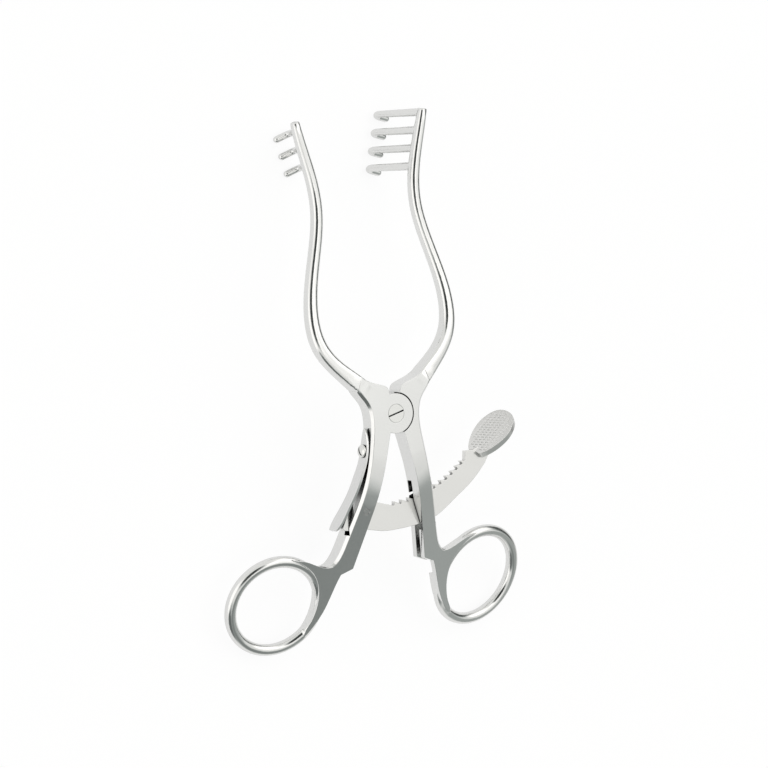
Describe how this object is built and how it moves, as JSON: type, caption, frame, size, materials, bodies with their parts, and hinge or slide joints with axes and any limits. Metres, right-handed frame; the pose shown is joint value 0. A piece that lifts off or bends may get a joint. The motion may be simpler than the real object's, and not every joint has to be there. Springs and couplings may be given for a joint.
{
  "type": "self retaining retractor",
  "caption": "Self retaining surgical retractor: two hinged arms with blunt hooked prongs, finger rings, a toothed ratchet bar with a knurled thumb pad, and a leaf spring.",
  "frame": {"origin": "on the joint screw's axis, in the flat upper face of the lap joint", "axes": "+X towards the right arm, +Y towards the prong ends, +Z out of the joint's upper face, up when the instrument lies on its prongs and rings"},
  "size_m": [0.1058, 0.1607, 0.0267],
  "materials": {
    "arm_steel": "polished",
    "screw_steel": "satin",
    "bar_steel": "satin",
    "spring_steel": "satin"
  },
  "bodies": {
    "left_side": {"left_arm": "arm_steel", "joint_screw": "screw_steel", "spring_screw": "screw_steel"},
    "right_side": {"right_arm": "arm_steel"},
    "bar_pivot": {"ratchet_pin": "bar_steel"},
    "ratchet": {"ratchet_bar": "bar_steel"},
    "spring": {"leaf_spring": "spring_steel"}
  },
  "joints": [
    {"name": "arm_hinge", "type": "hinge", "parent": "left_side", "child": "right_side", "pos_m": [0, 0, 0], "axis": [0, 0, -1], "range_deg": [-25, 25]},
    {"name": "bar_follow", "type": "hinge", "parent": "left_side", "child": "bar_pivot", "pos_m": [-0.0109, -0.0286, -0.007], "axis": [0, 0, -1], "range_deg": [-5.1, 5.1]},
    {"name": "ratchet_release", "type": "hinge", "parent": "bar_pivot", "child": "ratchet", "pos_m": [-0.0109, -0.0286, -0.007], "axis": [0, 0, -1], "range_deg": [-1, 3], "stiffness_Nm_per_rad": 0.08},
    {"name": "leaf_flex", "type": "hinge", "parent": "left_side", "child": "spring", "pos_m": [-0.0098, -0.0105, -0.003], "axis": [0, 0, -1], "range_deg": [-0.4, 0.8]}
  ],
  "couplings": [
    {"joint": "bar_follow", "follows": "arm_hinge", "ratio": 0.2},
    {"joint": "leaf_flex", "follows": "ratchet_release", "ratio": 0.25}
  ]
}
